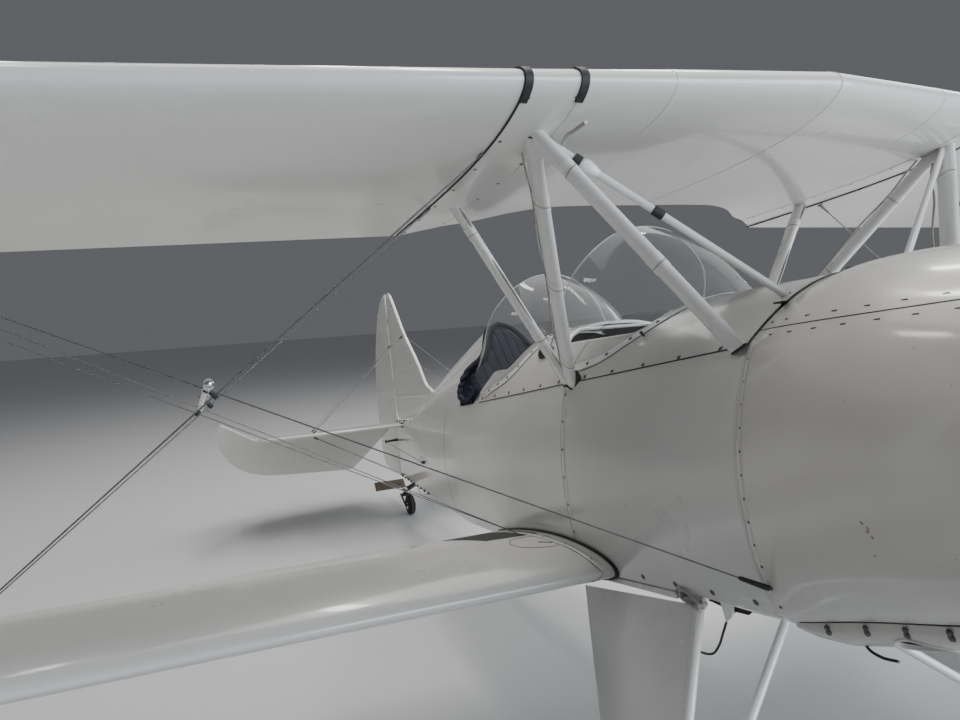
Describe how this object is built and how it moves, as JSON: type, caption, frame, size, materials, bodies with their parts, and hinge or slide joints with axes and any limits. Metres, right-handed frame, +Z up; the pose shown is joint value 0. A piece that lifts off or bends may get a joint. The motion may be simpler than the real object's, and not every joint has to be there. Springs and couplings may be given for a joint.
{
  "type": "biplane",
  "caption": "Two-seat open-cockpit sport biplane with a swept upper wing, faired struts and wires, turning propeller and wheels, and hinged control surfaces, parked on its tail wheel.",
  "frame": {"origin": "centre of the whole aircraft's box, on the floor that its wheels stand on", "axes": "+X to the aircraft's left (port), -Y towards its nose, +Z up; it stands nose-up on its wheels"},
  "size_m": [7.28, 6.3712, 2.1013],
  "materials": {
    "painted_cover": "gloss off-white over a covered frame",
    "painted_shell": "gloss off-white",
    "painted_strut": "gloss off-white paint",
    "steel": "bright",
    "alloy": "polished",
    "dark_alloy": "satin dark",
    "dark_metal": "satin dark",
    "cockpit_grey": "matt",
    "upholstery": "navy padded",
    "clear_sheet": "clear",
    "tyre_rubber": "matt black"
  },
  "bodies": {
    "airframe": {"upper_center_section": "painted_cover", "wing_joint_left": "painted_cover", "upper_wing_left": "painted_cover", "wing_joint_right": "painted_cover", "upper_wing_right": "painted_cover", "lower_wing_left": "painted_cover", "lower_wing_right": "painted_cover", "forward_fuselage": "painted_cover", "middle_fuselage": "painted_cover", "turtledeck": "painted_cover", "fin": "painted_cover", "stabilizer_left": "painted_cover", "stabilizer_right": "painted_cover", "aft_fuselage": "painted_cover", "front_deck": "painted_shell", "rear_deck": "painted_shell", "cowl_top": "painted_shell", "cowl_main": "painted_shell", "cowl_belly": "painted_shell", "cabane_left": "painted_strut", "cabane_right": "painted_strut", "interplane_strut_left": "painted_strut", "interplane_strut_right": "painted_strut", "gear_leg_left": "painted_strut", "shock_strut_left": "painted_strut", "gear_leg_right": "painted_strut", "shock_strut_right": "painted_strut", "firewall": "steel", "rigging_left": "steel", "rigging_right": "steel", "engine": "dark_alloy", "control_sticks": "dark_metal", "tail_spring": "dark_metal", "cockpit_floor": "cockpit_grey", "front_panel": "cockpit_grey", "rear_panel": "cockpit_grey", "front_seat": "upholstery", "rear_seat": "upholstery", "rear_headrest": "upholstery", "rear_coaming": "upholstery", "front_windshield": "clear_sheet", "rear_windshield": "clear_sheet"},
    "propeller": {"propeller": "dark_alloy", "spinner": "alloy"},
    "wheel_left": {"tyre_left": "tyre_rubber", "wheel_hub_left": "alloy"},
    "wheel_right": {"tyre_right": "tyre_rubber", "wheel_hub_right": "alloy"},
    "tail_castor": {"tail_fork": "dark_metal"},
    "tail_wheel": {"tail_wheel": "tyre_rubber"},
    "rudder": {"rudder": "painted_cover"},
    "elevator": {"elevator": "painted_cover"},
    "aileron_left": {"aileron_left": "painted_cover"},
    "aileron_right": {"aileron_right": "painted_cover"}
  },
  "joints": [
    {"name": "propeller_spin", "type": "hinge", "parent": "airframe", "child": "propeller", "pos_m": [0, -2.98385, 1.33862], "axis": [0, 0.9939, -0.11], "continuous": true},
    {"name": "wheel_left_spin", "type": "hinge", "parent": "airframe", "child": "wheel_left", "pos_m": [0.85, -1.95251, 0.20325], "axis": [1, 0, 0], "continuous": true},
    {"name": "wheel_right_spin", "type": "hinge", "parent": "airframe", "child": "wheel_right", "pos_m": [-0.85, -1.95251, 0.20325], "axis": [1, 0, 0], "continuous": true},
    {"name": "tail_castor_swivel", "type": "hinge", "parent": "airframe", "child": "tail_castor", "pos_m": [0, 2.47658, 0.15966], "axis": [0, 0, 1], "continuous": true},
    {"name": "tail_wheel_spin", "type": "hinge", "parent": "tail_castor", "child": "tail_wheel", "pos_m": [0, 2.35658, 0.07535], "axis": [1, 0, 0], "continuous": true},
    {"name": "rudder_turn", "type": "hinge", "parent": "airframe", "child": "rudder", "pos_m": [0, 2.51756, 0.40262], "axis": [0, 0.11, 0.9939], "range_deg": [-25, 25]},
    {"name": "elevator_turn", "type": "hinge", "parent": "airframe", "child": "elevator", "pos_m": [0, 2.50463, 0.70388], "axis": [1, 0, 0], "range_deg": [0, 59]},
    {"name": "aileron_left_turn", "type": "hinge", "parent": "airframe", "child": "aileron_left", "pos_m": [2.335, -0.57093, 0.69196], "axis": [0.9999, 0.0014, 0.0122], "range_deg": [-25, 25]},
    {"name": "aileron_right_turn", "type": "hinge", "parent": "airframe", "child": "aileron_right", "pos_m": [-2.335, -0.57093, 0.69196], "axis": [0.9999, -0.0014, -0.0122], "range_deg": [-25, 25]}
  ],
  "couplings": [
    {"joint": "aileron_right_turn", "follows": "aileron_left_turn", "ratio": -1}
  ]
}
